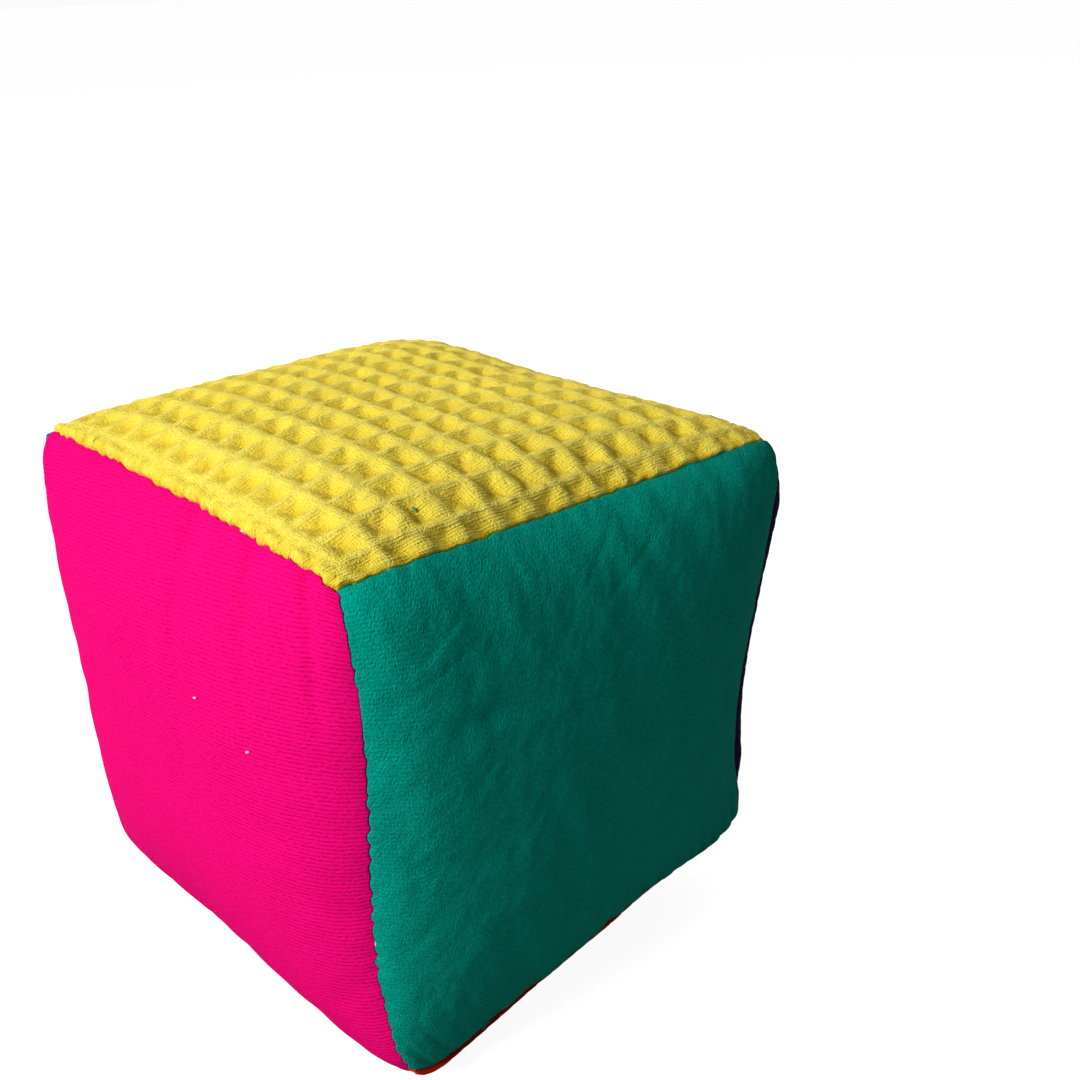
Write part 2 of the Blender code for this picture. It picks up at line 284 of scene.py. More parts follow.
# The cover: the six squares as one bag of thin cloth, sewn to a little more than the filling
# needs, so that it puckers along its seams as it is blown out from inside. Each square below
# takes its own share of these puckers, the less the thicker its cloth.
cover_cells = 40
cover_slack = 0.04
cover_steps = 25
cover_scale = 10
deepest_pucker = 0.0012
smoothing_rounds = 20
pucker_share = {"yellow": 0.06, "red": 0.4, "green": 0.25, "blue": 0.4, "magenta": 0.3, "purple": 0.5}


def blow_out_cover():
    """How far the cloth of each square puckers, on a grid with cover_cells to a side."""
    on_face = 0.999
    bm = bmesh.new()
    bmesh.ops.create_cube(bm, size=2)
    bmesh.ops.subdivide_edges(bm, edges=bm.edges, cuts=cover_cells - 1, use_grid_fill=True)
    spots = np.array([vert.co for vert in bm.verts])
    sewn = np.flatnonzero(np.sum(np.abs(spots) > on_face, axis=1) > 1).tolist()
    form = np.empty_like(spots)
    belongs = {}
    for side, (n, a, b) in sides.items():
        on = spots @ np.array(n) > on_face
        u, v = spots[on] @ np.array(a), spots[on] @ np.array(b)
        form[on] = crowned(side, u, v)
        belongs[side] = on, *(np.rint((w + 1) / 2 * cover_cells).astype(int) for w in (u, v))
    for vert, co in zip(bm.verts, form):
        vert.co = Vector(co * cover_scale)
    cover = bpy.data.objects.new("cover", mesh_of(bm, "cover"))
    bpy.context.scene.collection.objects.link(cover)
    cover.vertex_groups.new(name="seams").add(sewn, 1, "REPLACE")
    cloth = cover.modifiers.new("puckers", "CLOTH")
    cover_cloth = {"quality": 6, "mass": 0.1, "tension_stiffness": 15, "shear_stiffness": 5,
                   "compression_stiffness": 15, "bending_stiffness": 0.3, "pin_stiffness": 1,
                   "use_pressure": True, "uniform_pressure_force": 3,
                   "vertex_group_mass": "seams", "shrink_min": -cover_slack}
    for key, value in cover_cloth.items():
        setattr(cloth.settings, key, value)
    cloth.settings.effector_weights.gravity = 0
    cloth.collision_settings.use_collision = False
    cloth.collision_settings.use_self_collision = False
    cloth.point_cache.frame_start = 1
    cloth.point_cache.frame_end = cover_steps
    for step in range(1, cover_steps + 1):
        bpy.context.scene.frame_set(step)
    blown = cover.evaluated_get(bpy.context.evaluated_depsgraph_get())
    moved = np.array([vert.co for vert in blown.data.vertices]) / cover_scale - form
    bpy.data.objects.remove(cover)
    bpy.context.scene.frame_set(1)
    grids = {}
    for side, (on, i, j) in belongs.items():
        grid = np.zeros((cover_cells + 1, cover_cells + 1))
        grid[i, j] = moved[on] @ np.array(sides[side][0])
        # The wide bulge is taken off, because the crown of each square gives it already
        bulge = grid
        for _ in range(smoothing_rounds):
            wide = np.pad(bulge, 1, mode="reflect", reflect_type="odd")
            bulge = (4 * bulge + wide[:-2, 1:-1] + wide[2:, 1:-1] + wide[1:-1, :-2] + wide[1:-1, 2:]) / 8
        grids[side] = np.clip(grid - bulge, -deepest_pucker, deepest_pucker)
    return grids


puckers = blow_out_cover()


def puckered(side, u, v):
    """How far a square stands out with its share of the puckers, smoothly between the grid's spots."""
    if side not in puckers:
        return 0 * u
    grid = np.pad(puckers[side] * pucker_share[side], 1, mode="reflect", reflect_type="odd")
    x, y = (u + 1) / 2 * cover_cells, (v + 1) / 2 * cover_cells
    i, j = (np.minimum(w.astype(int), cover_cells - 1) for w in (x, y))
    weigh = []
    for past in (x - i, y - j):
        away = [np.abs(past - k) for k in (-1, 0, 1, 2)]
        weigh.append([np.where(d < 1, 4 - 6 * d * d + 3 * d ** 3, (2 - np.minimum(d, 2)) ** 3) / 6
                      for d in away])
    return sum(weigh[0][k] * weigh[1][m] * grid[i + k, j + m] for k in range(4) for m in range(4))


# The magenta square: smooth cotton drill with fine ribs that run almost level. Like the other
# five it is cut square, sewn by machine, face to face with its neighbours, and then turned.
stitch_length = 0.0033
turned_in = 0.0062
fold_steps = 5
inside_seam = (0.0012, 0.003)
seam_reach = 0.0015
teeth_per_stitch = 2.7
loosest, tightest = 0.35, 1.3
most_teeth, most_stitches = 100, 40
first_seam_seed = 40
rolled_ends = 0.3
rolled_middle = 1.1
crease_ends = 0.004
millimetres = 1000

# How far each seam line is ragged, how far it scallops from stitch to stitch, and how deep its
# stitches pull it in
usual_raggedness = (0.0001, 0.00012, 0.0001)
ragged = {
    "magenta_yellow": (0.0004, 0.0002, 0.0002), "magenta_green": (0.00022, -0.0004, 0.00016),
    "green_yellow": (0.00022, 0.0001, 0.0001), "blue_yellow": (0.00034, 0.0002, 0.0002),
    "purple_yellow": (0.00034, 0.0002, 0.0002),
}

# Where a square's edge rolls out past its seam and shows beside its neighbour: the start and end
# along the seam, how far it rolls, and how wide
rolled = {
    ("purple", "purple_green"): [(-0.9, 0.95, 0.0027, 0.0011)],
    ("red", "green_red"): [(-1.4, 0.3, 0.0012, 0.0006), (-1.3, -0.7, 0.0009, 0.0009)],
    ("blue", "magenta_blue"): [(0.7, 1.5, 0.0021, 0.0009), (-0.6, 0.85, 0.0017, 0.0009)],
    ("blue", "blue_yellow"): [(-1.5, -0.8, 0.0012, 0.0009)],
}


def stitched(name, r):
    """How far a seam strays sideways, and how deep its stitches pull it in, along r."""
    fine, scallop, dip = ragged.get(name, usual_raggedness)
    jags = np.random.default_rng(sorted(seams.values()).index(name) + first_seam_seed)
    beat = (r + 1) * half / stitch_length
    swell = np.abs(np.sin(np.pi * beat))
    teeth = jags.uniform(-1, 1, most_teeth)
    pulls = jags.uniform(loosest, tightest, most_stitches)
    teeth = np.interp(beat * teeth_per_stitch, np.arange(most_teeth), teeth)
    pulls = np.interp(np.floor(beat), np.arange(most_stitches), pulls)
    return fine * teeth + scallop * pulls * (swell - 0.3), dip * pulls * (1 - swell) ** 2


def turned_edge(cells, fold):
    """Places across a square: over its face, round the fold at each seam, and into the seam.

    Gives for each place its spot from -1 to 1 across the face and its depth into the seam.
    """
    face = np.linspace(-1 + fold / half, 1 - fold / half, cells + 1)
    t = np.linspace(0, 1, fold_steps + 1)[1:]
    spots = np.concatenate([1 - (fold / half) * (1 - t) ** 2, [1, 1, 1]])
    depths = np.concatenate([fold * t ** 2, [fold + d for d in inside_seam], [turned_in]])
    spots = np.concatenate([-spots[::-1], face, spots])
    depths = np.concatenate([depths[::-1], 0 * face, depths])
    return spots, depths


def lay_square(side, spots, depths, fold, relief):
    """The places on one cloth square, with its relief, its turned-in edges and ragged seams."""
    n, a, b = (np.array(d) for d in sides[side])
    u, v = np.meshgrid(spots, spots, indexing="ij")
    wu, wv = np.meshgrid(depths, depths, indexing="ij")
    form = crowned(side, u, v)
    step = 0.004
    du = crowned(side, np.clip(u + step, -1, 1), v) - crowned(side, np.clip(u - step, -1, 1), v)
    dv = crowned(side, u, np.clip(v + step, -1, 1)) - crowned(side, u, np.clip(v - step, -1, 1))
    normal = np.cross(du, dv)
    normal /= np.linalg.norm(normal, axis=-1, keepdims=True)
    deepest = turned_in * 1.2
    depth = np.minimum(np.hypot(wu, wv), deepest)
    raised = 1 - np.minimum(depth / fold, 1)
    inward = -form / np.linalg.norm(form, axis=-1, keepdims=True)
    up = relief(u, v) + puckered(side, u, v)
    point = form + normal * (up * raised)[..., None] + inward * depth[..., None]
    diagonal = 1.4
    # Of each seam: which edge of the cube it is, how far from it a place lies, and how far along
    edges = ((n - a, u + 1, v), (n + a, 1 - u, v), (n - b, v + 1, u), (n + b, 1 - v, u))
    for signs, across, along in edges:
        name = seams[tuple(int(s) for s in signs)]
        sway, dip = stitched(name, along)
        first = np.array([s if k == np.flatnonzero(signs)[0] else 0 for k, s in enumerate(signs)])
        sideways = (first - (signs - first)) / math.sqrt(2)
        near = np.exp(-(across * half / seam_reach) ** 2)
        point = point + (near * sway)[..., None] * sideways
        point = point - (near * dip)[..., None] * signs / diagonal
        for start, end, reach, width in rolled.get((side, name), ()):
            ends = np.clip((along - start) / rolled_ends, 0, 1)
            ends = ends * np.clip((end - along) / rolled_ends, 0, 1)
            roll = reach * ends * raised * np.exp(-((across * half / width) - rolled_middle) ** 2)
            point = point + roll[..., None] * (signs - n)
    return point


def sew_square(side, cells, fold, relief, marks=None):
    """The mesh of one cloth square, with marks on it that its material goes by."""
    spots, depths = turned_edge(cells, fold)
    point = lay_square(side, spots, depths, fold, relief)
    u, v = np.meshgrid(spots, spots, indexing="ij")
    bm = bmesh.new()
    count = len(spots)
    bmesh.ops.create_grid(bm, x_segments=count - 1, y_segments=count - 1, size=1)
    uv = bm.loops.layers.uv.new("cloth")
    layers = {name: bm.verts.layers.float.new(name) for name in (marks or {})}
    values = {name: mark(u, v) for name, mark in (marks or {}).items()}
    where = {}
    for vert in bm.verts:
        i = round((vert.co.x + 1) / 2 * (count - 1))
        j = round((vert.co.y + 1) / 2 * (count - 1))
        where[vert.index] = (i, j)
        vert.co = Vector(point[i, j] + middle)
        if side == "red":
            vert.co.z = max(vert.co.z, 0)
        for name, layer in layers.items():
            vert[layer] = values[name][i, j]
    # The cloth's own places in millimetres, with its turned-in edges, for the weave
    flat = (spots * half + np.sign(spots) * depths) * millimetres
    for face in bm.faces:
        for loop in face.loops:
            i, j = where[loop.vert.index]
            loop[uv].uv = (flat[i], flat[j])
    bmesh.ops.remove_doubles(bm, verts=bm.verts, dist=0.00001)
    if sum((f.normal @ Vector(sides[side][0])) * f.calc_area() for f in bm.faces) < 0:
        bmesh.ops.reverse_faces(bm, faces=bm.faces)
    return mesh_of(bm, side + " square")


def sewn_piece(side, mesh, material, thickness):
    """A square as a piece of cloth with two faces, stretched over the filling."""
    item = new_piece(side + "_square", mesh, material, "panel_" + side)
    shell = item.modifiers.new("thickness of the cloth", "SOLIDIFY")
    shell.thickness = thickness
    shell.offset = -1


def crease(u, v, start, end, width, height):
    """A straight fold or valley between two spots of a square, dying away past its ends."""
    (u0, v0), (u1, v1) = start, end
    length = math.hypot(u1 - u0, v1 - v0)
    along = ((u - u0) * (u1 - u0) + (v - v0) * (v1 - v0)) / length
    aside = ((u - u0) * (v1 - v0) - (v - v0) * (u1 - u0)) / length * half
    past = np.maximum(np.abs(along - length / 2) - length / 2, 0) * half
    return height * np.exp(-(aside / width) ** 2 - (past / crease_ends) ** 2)


def cloth_spot(tree):
    """Places on the cloth in millimetres: as one vector, across and up."""
    spot = add_node(tree, "UVMap", uv_map="cloth").outputs[0]
    parts = add_node(tree, "SeparateXYZ", {0: spot})
    return spot, parts.outputs[0], parts.outputs[1]


def ribs(tree, across, up, pitch, slope, stray=0):
    """Parallel threads as waves from 0 to 1, pitch apart, rising by slope degrees."""
    lean = math.radians(slope)
    phase = calc(tree, "SUBTRACT", calc(tree, "MULTIPLY", up, math.cos(lean) * 2 * math.pi / pitch),
                 calc(tree, "MULTIPLY", across, math.sin(lean) * 2 * math.pi / pitch))
    wave = calc(tree, "SINE", calc(tree, "ADD", phase, stray))
    return calc(tree, "MULTIPLY_ADD", wave, 0.5, 0.5)


# The upright dents below the seam with the yellow square: where each stands along the seam, how
# deep it is, how far down it reaches, and how wide it is
dents = [(0.11, 0.0014, 0.028, 0.0018), (0.51, 0.0012, 0.022, 0.0016), (0.82, 0.0012, 0.018, 0.0015),
         (-0.28, 0.0005, 0.02, 0.0028), (-0.62, 0.0004, 0.016, 0.0022)]
dent_lean = 0.05


def magenta_relief(u, v):
    """Soft swells, the dents below the top seam, and two creases at the corner."""
    up = 0.0003 * uneven(u, v, 0.024, 0.028, 3) + 0.00009 * uneven(u, v, 0.006, 0.008, 4)
    below = (1 - v) * half
    for place, depth, reach, width in dents:
        line = (u - place) * half - dent_lean * below
        up = up - depth * np.exp(-(line / width) ** 2 - (below / reach) ** 2)
    up = up + crease(u, v, (-0.93, 0.96), (-0.84, 0.8), width=0.0012, height=0.0012)
    return up - crease(u, v, (-0.80, 0.99), (-0.75, 0.82), width=0.0008, height=0.0007)


magenta, tree, shader = plain_finish("magenta drill", roughness=0.85)
spot, across, up = cloth_spot(tree)
stray = calc(tree, "MULTIPLY", blotches(tree, spot, 2.2, 1.1, 3), 5)
drill = ribs(tree, across, up, pitch=0.77, slope=8, stray=stray)
breaks = blotches(tree, spot, 0.8, 0.35, 3)
strength = add_node(tree, "MapRange", {"Value": breaks, "From Min": 0.34, "From Max": 0.6}).outputs[0]
grooves = calc(tree, "MULTIPLY", calc(tree, "POWER", drill, 1.6), strength)
flecks = blotches(tree, spot, 0.5, 0.4, 3)
grain = calc(tree, "MULTIPLY_ADD", grooves, -0.8, calc(tree, "MULTIPLY_ADD", flecks, 1.2, 0.3))
worn = calc(tree, "MULTIPLY_ADD", blotches(tree, spot, 9, 14), 0.25, calc(tree, "SUBTRACT", grain, 0.1))
tint(tree, shader, worn, (0.62, 0.0, 0.085), (0.92, 0.003, 0.205))
raise_grain(tree, shader, grain, depth=0.0001)
mesh = sew_square("magenta", cells=190, fold=0.0003, relief=magenta_relief)
sewn_piece("magenta", mesh, magenta, thickness=0.0006)


# The green square: soft cotton crepe. Its hard-twisted threads crinkle the cloth in fine upright
# streaks, and it is eased into the red seam below it, so that it puckers up from there.
gather_pitch = 0.0046
gather_lean = 0.28

# Fine slanting creases, each from spot to spot, and soft arches across the square: how high each
# stands, its left and right ends, and how deep it is
slanting = [((-0.745, 0.718), (-0.675, 0.765)), ((-0.79, 0.615), (-0.61, 0.703)),
            ((-0.01, 0.70), (0.165, 0.79)), ((-0.127, 0.765), (-0.015, 0.852))]
arches = [(0.4, -0.82, -0.3, 0.0003), (0.28, -0.5, 0.0, 0.0002), (0.62, -0.7, -0.35, 0.0002),
          (-0.1, 0.3, 0.7, 0.00015)]
arch_rise, arch_ends, arch_width = 0.05, 0.15, 0.0022


def green_relief(u, v):
    """Crinkles all over, gathers at the foot, and slanting creases and soft arches above them."""
    rise = (v + 1) * half
    lean = u + gather_lean * (v + 1)
    up = 0.00006 * uneven(u - 0.4 * (v + 1) + 0.8, v, 0.0011, 0.0018, 11)
    up = up + 0.0001 * uneven(u, v, 0.0025, 0.004, 12)
    up = up + 0.00025 * uneven(lean, v, 0.0052, 0.022, 13) + 0.0004 * uneven(u, v, 0.02, 0.026, 14)
    wander = 2.2 * uneven(u, v, 0.012, 0.02, 15)
    gathers = np.sin(2 * np.pi * (lean + 1) * half / gather_pitch + wander)
    gathers = -(0.5 + 0.5 * gathers) ** 3
    reach = 0.012 + 0.006 * uneven(lean, 0 * v, 0.004, 1, 16)
    depth = 0.0004 + 0.0005 * np.clip(u + 0.4, 0, 1)
    up = up + depth * gathers * np.exp(-(rise / reach) ** 2) * np.minimum(rise / 0.004, 1) ** 1.5
    for start, end in slanting:
        up = up - crease(u, v, start, end, width=0.0006, height=0.0001)
    for level, left, right, depth in arches:
        arch = level + arch_rise * np.cos((u - (left + right) / 2) / (right - left) * np.pi)
        ends = np.clip((u - left) / arch_ends, 0, 1) * np.clip((right - u) / arch_ends, 0, 1)
        up = up - depth * ends * np.exp(-((v - arch) * half / arch_width) ** 2)
    return up


green, tree, shader = plain_finish("green crepe", roughness=0.9, sheen=0.02)
spot, across, up = cloth_spot(tree)
stray = calc(tree, "MULTIPLY", blotches(tree, spot, 1.3, 1.6, 3), 9)
weft = ribs(tree, across, up, pitch=0.74, slope=-7, stray=stray)
turned = add_node(tree, "VectorRotate", {"Vector": spot, "Angle": math.radians(26)},
                  rotation_type="Z_AXIS").outputs[0]
twists = blotches(tree, turned, 0.32, 0.6, 3)
beside_seam = add_node(tree, "MapRange", {"Value": across, "From Min": -34, "From Max": -46}).outputs[0]
weft = calc(tree, "MULTIPLY", weft, calc(tree, "MULTIPLY_ADD", beside_seam, 0.08, 0.04))
grain = calc(tree, "MULTIPLY_ADD", twists, 0.86, weft)
sharp = add_node(tree, "MapRange", {"Value": grain, "From Min": 0.33, "From Max": 0.65}).outputs[0]
worn = calc(tree, "MULTIPLY_ADD", blotches(tree, spot, 7, 12), 0.3, calc(tree, "MULTIPLY", sharp, 0.7))
tint(tree, shader, worn, (0.0, 0.22, 0.16), (0.0, 0.46, 0.35))
raise_grain(tree, shader, grain, depth=0.00028)
mesh = sew_square("green", cells=200, fold=0.0003, relief=green_relief)
sewn_piece("green", mesh, green, thickness=0.0006)


# The yellow square: thick cotton waffle, woven with long floats that draw the cloth up into a
# grid of ridges round square pits. It is the top of the block, and its seams are puffy.
row_pitch, first_row = 0.0073, 0.0037
column_pitch, first_column = 0.0070, 0.0040
waffle_depth = 0.0015
yarns = 7
column_wander, row_wander, yarn_wander = 0.0006, 0.0005, 0.0003
row_dip, column_dip = 0.18, 0.16
column_height = 0.92
crest_width = 0.16
puff_height, puff_width, puff_place = 0.0011, 0.0012, 0.0015


def from_ridges(u, v):
    """How near each place is to a column's ridge and to a row's, from 0 midway to 1 on it."""
    x = (u + 1) * half + column_wander * uneven(u, v, 0.008, 0.011, 21)
    y = (v + 1) * half + row_wander * uneven(u, v, 0.011, 0.008, 22)
    x = (x + yarn_wander * uneven(u, v, 0.003, 0.003, 26) - first_column) / column_pitch
    y = (y + yarn_wander * uneven(u, v, 0.003, 0.003, 27) - first_row) / row_pitch
    return np.abs(2 * (x - np.floor(x)) - 1), np.abs(2 * (y - np.floor(y)) - 1)


def waffle_wall(u, v):
    """How high the walls round a pit stand: the ridges swell between the knots where they cross."""
    dx, dy = from_ridges(u, v)
    row = (0.5 - 0.5 * np.cos(np.pi * dy)) ** 0.8 * (1 - row_dip * dx ** 2)
    column = column_height * (1 - (1 - dx ** 1.5) ** 1.3) * (1 - column_dip * dy ** 2)
    # Nearly the higher of the two, but rounded where they meet
    return (row ** 10 + column ** 10) ** (1 / 10)


def waffle_crest(u, v):
    """The thin crest line of the columns, palest at the knots, fainter on the rows, and crushed
    away by the front seam."""
    dx, dy = from_ridges(u, v)
    crushed = np.exp(-((v + 1) * half / 0.005) ** 4)
    column = np.clip((dx - 1 + crest_width) / crest_width, 0, 1) * (0.6 + 0.4 * dy ** 2)
    return np.maximum(column, 0.4 * np.clip((dy - 0.86) / 0.14, 0, 1)) * (1 - crushed)


def yellow_relief(u, v):
    """The walls and pits of the waffle, and its crumpled and puffy edges."""
    wall = waffle_wall(u, v)
    deep = waffle_depth * (1 + 0.2 * uneven(u, v, 0.007, 0.007, 23))
    up = deep * (wall - 0.8) + 0.00022 * uneven(u, v, 0.0018, 0.0018, 24)
    # The seams press the pits flat, and the near one rolls the cloth up in small lumps
    pressed = (((v + 1) * half, 0.0062 - 0.0028 * u), ((1 - u) * half, 0.0022),
               ((1 - v) * half, 0.011), ((u + 1) * half, 0.007))
    for gap, reach in pressed:
        calm = 0.85 * np.exp(-(gap / reach) ** 2)
        crumpled = uneven(u - 0.3 * (v + 1) + 0.6, v, 0.001, 0.0045, 29)
        crumpled = 0.0003 * crumpled + 0.0003 * uneven(u, v, 0.0014, 0.0018, 28)
        up = up * (1 - calm) + calm * (0.0003 + crumpled)
    lumps = 0.7 + 0.55 * uneven(u, v, 0.00095, 0.0015, 25)
    return up + puff_height * lumps * np.exp(-(((v + 1) * half - puff_place) / puff_width) ** 2)


yellow, tree, shader = plain_finish("yellow waffle", roughness=0.9, sheen=0.03)
spot, across, up = cloth_spot(tree)
wall = add_node(tree, "Attribute", attribute_name="wall").outputs["Fac"]
stray = calc(tree, "MULTIPLY", blotches(tree, spot, 1.4, 1.4), 4)
coils = calc(tree, "SINE", calc(tree, "MULTIPLY_ADD", wall, yarns * 2 * math.pi, stray))
fuzz = blotches(tree, spot, 0.35, 0.35, 3)
streaks = blotches(tree, spot, 1.2, 0.5, 4)
drift = calc(tree, "MULTIPLY", blotches(tree, spot, 0.9, 3), 6)
broken = add_node(tree, "MapRange", {"Value": blotches(tree, spot, 0.8, 2.2), "From Min": 0.38,
                                     "From Max": 0.62}).outputs[0]
floats = calc(tree, "MULTIPLY", ribs(tree, up, across, pitch=0.6, slope=0, stray=drift), broken)
grain = calc(tree, "MULTIPLY_ADD", streaks, 0.5, fuzz)
grain = calc(tree, "MULTIPLY_ADD", floats, 0.55, calc(tree, "MULTIPLY_ADD", coils, 0.05, grain))
crest = add_node(tree, "Attribute", attribute_name="crest").outputs["Fac"]
# The colour follows the wall's height: darker and more orange low in the pits, paler high on the walls.
# That is painted shade in the pits, mixed with the cloth's own fuzz, floats and yarn lines.
yarn_tone_and_pit_shade = calc(tree, "MULTIPLY_ADD", wall, 0.55, calc(tree, "MULTIPLY_ADD", fuzz, 0.9, -0.35))
yarn_tone_and_pit_shade = calc(tree, "MULTIPLY_ADD", floats, 0.4, calc(tree, "MULTIPLY_ADD", coils, 0.05, yarn_tone_and_pit_shade))
body = tint(tree, shader, yarn_tone_and_pit_shade, (0.80, 0.54, 0.015), (1.0, 0.86, 0.12))
crest_colour = (0.85, 0.74, 0.25, 1)
pale = add_node(tree, "Mix", {0: calc(tree, "MULTIPLY", crest, 0.5), 6: body, 7: crest_colour},
                data_type="RGBA")
tree.links.new(pale.outputs[2], shader.inputs["Base Color"])
raise_grain(tree, shader, grain, depth=0.0003)
mesh = sew_square("yellow", cells=206, fold=0.0009, relief=yellow_relief,
                  marks={"wall": waffle_wall, "crest": waffle_crest})
sewn_piece("yellow", mesh, yellow, thickness=0.0005)


# The blue square: plain cotton canvas, smooth and matt, with a small tuck by its corner with the
# red and purple squares. It is the left side of the block as it stands here.
def plain_weave(tree, across, up, pitch, stray=0):
    """The warp and weft of a plain cloth, pitch apart, as one height from 0 to 1."""
    warp = ribs(tree, up, across, pitch, 0, stray)
    weft = ribs(tree, across, up, pitch, 0, stray)
    return calc(tree, "MULTIPLY", calc(tree, "ADD", warp, weft), 0.5)


def blue_relief(u, v):
    """Soft swells, a tuck by the corner and a wide low fold up the middle."""
    up = 0.0003 * uneven(u, v, 0.026, 0.022, 31) + 0.00008 * uneven(u, v, 0.005, 0.005, 32)
    up = up - crease(u, v, (-0.97, 0.9), (-0.82, 0.82), width=0.0012, height=0.0008)
    return up + crease(u, v, (-0.6, -0.2), (0.5, -0.12), width=0.004, height=0.0003)


blue, tree, shader = plain_finish("blue canvas", roughness=0.85, sheen=0.05)
spot, across, up = cloth_spot(tree)
stray = calc(tree, "MULTIPLY", blotches(tree, spot, 2, 2), 2)
grain = plain_weave(tree, across, up, pitch=0.5, stray=stray)
worn = calc(tree, "MULTIPLY_ADD", blotches(tree, spot, 1, 9, 3), 0.6, calc(tree, "MULTIPLY", grain, 0.4))
tint(tree, shader, worn, (0.003, 0.1, 0.47), (0.008, 0.19, 0.78))
raise_grain(tree, shader, grain, depth=0.00016)
mesh = sew_square("blue", cells=130, fold=0.0003, relief=blue_relief)
sewn_piece("blue", mesh, blue, thickness=0.0007)


# The purple square: brushed cotton with a soft nap, which hangs in faint upright folds and has
# one fine slanting crease beside the label. It is the back of the block.
def purple_relief(u, v):
    """Faint upright folds, and one slanting crease."""
    up = 0.0004 * uneven(u, v, 0.035, 0.009, 41) + 0.0003 * uneven(u, v, 0.02, 0.02, 42)
    up = up + 0.00008 * uneven(u, v, 0.006, 0.002, 43)
    return up - crease(u, v, (-0.6, -0.25), (-0.38, -0.55), width=0.0009, height=0.0005)


purple, tree, shader = plain_finish("purple brushed cotton", roughness=0.9, sheen=0.4)
shader.inputs["Sheen Tint"].default_value = (0.62, 0.42, 0.85, 1)
spot, across, up = cloth_spot(tree)
nap = blotches(tree, spot, 1.8, 0.4, 4)
stray = calc(tree, "MULTIPLY", blotches(tree, spot, 2, 2), 3)
weave = ribs(tree, up, across, pitch=0.55, slope=0, stray=stray)
grain = calc(tree, "MULTIPLY_ADD", weave, 0.4, nap)
worn = calc(tree, "MULTIPLY_ADD", blotches(tree, spot, 14, 5), 0.5, calc(tree, "MULTIPLY", nap, 0.5))
tint(tree, shader, worn, (0.028, 0.007, 0.05), (0.085, 0.027, 0.14))
raise_grain(tree, shader, grain, depth=0.00018)
mesh = sew_square("purple", cells=150, fold=0.0003, relief=purple_relief)
sewn_piece("purple", mesh, purple, thickness=0.0007)


# The red square: thin plain cotton, cut a little large, so that it ripples where it is eased into
# its seam with the magenta one. It is the bottom, and the block's weight presses it level.
ripples = 8
ripple_height = 0.0016
ripple_start, ripple_reach = 0.004, 0.038


def red_relief(u, v):
    """Ripples that stand along the seam with the magenta square and die away from it."""
    reach = (u + 1) * half
    fade = np.maximum(1 - reach / ripple_reach, 0) ** 2 * np.minimum(reach / ripple_start, 1)
    swing = v + 0.02 * uneven(u, v, 0.03, 0.012, 51)
    up = ripple_height * fade * (1 - np.cos((swing + 1) * np.pi * ripples)) / 2
    up = up * (0.85 + 0.15 * uneven(u, v, 0.06, 0.0125, 52))
    return up + 0.00008 * uneven(u, v, 0.006, 0.006, 53)


red, tree, shader = plain_finish("red cotton", roughness=0.8, sheen=0.05)
spot, across, up = cloth_spot(tree)
stray = calc(tree, "MULTIPLY", blotches(tree, spot, 1.5, 1.5), 2)
grain = plain_weave(tree, across, up, pitch=0.4, stray=stray)
worn = calc(tree, "MULTIPLY_ADD", blotches(tree, spot, 10, 10, 3), 0.7, calc(tree, "MULTIPLY", grain, 0.3))
tint(tree, shader, worn, (0.58, 0.004, 0.0), (0.82, 0.016, 0.002))
raise_grain(tree, shader, grain, depth=0.00012)
mesh = sew_square("red", cells=150, fold=0.0003, relief=red_relief)
sewn_piece("red", mesh, red, thickness=0.0005)


# The thread: white polyester, one lockstitch seam down each edge of the cube. It lies hidden
# between the two turned-in edges, and shows only where a stitch has been pulled up.
thread_radius = 0.00014
thread_inset = 0.0028
thread_depth = 0.0014
stitch_swing = 0.00025
pulled_length = 0.0011
places_per_stitch = 8

# Where a stitch shows along each seam, from -1 to 1
pulled_up = {
    "magenta_yellow": (0.432, -0.93), "green_yellow": (-0.935, -0.80),
    "magenta_green": (-0.353,), "purple_blue": (0.62,), "blue_red": (0.3,), "purple_red": (-0.4,),
}


def strand(name, line, radius, roundness):
    """A round strand of the radius given along a line of places."""
    curve = bpy.data.curves.new(name, "CURVE")
    curve.dimensions = "3D"
    spline = curve.splines.new("POLY")
    spline.points.add(len(line) - 1)
    for point, co in zip(spline.points, line):
        point.co = (*co, 1)
    curve.bevel_depth = radius
    curve.bevel_resolution = roundness
    curve.use_fill_caps = True
    return curve


white_thread, tree, shader = plain_finish("white thread", roughness=0.6, sheen=0.2)
place = add_node(tree, "TexCoord").outputs["Object"]
twist_length = 0.0004
twist = blotches(tree, place, twist_length, twist_length, detail=3)
tint(tree, shader, twist, (0.66, 0.63, 0.56), (0.92, 0.91, 0.88))
raise_grain(tree, shader, twist, depth=0.00008)
for signs, name in seams.items():
    inset = thread_inset / half
    stitches = round(seam_length * (1 - inset) / stitch_length)
    r = np.linspace(-1 + inset, 1 - inset, stitches * places_per_stitch + 1)
    sunk = thread_depth + stitch_swing * np.cos(2 * np.pi * (r + 1) * half / stitch_length)
    for pulled in pulled_up.get(name, ()):
        sunk = sunk - thread_depth * np.exp(-((r - pulled) * half / pulled_length) ** 2)
    outward = np.array(signs) / math.sqrt(2)
    line = seam_line(signs, r) - outward * sunk[:, None] + middle
    curve = strand("thread " + name, line, thread_radius, roundness=1)
    item = new_piece("thread_" + name, curve, white_thread, "seam_" + name)


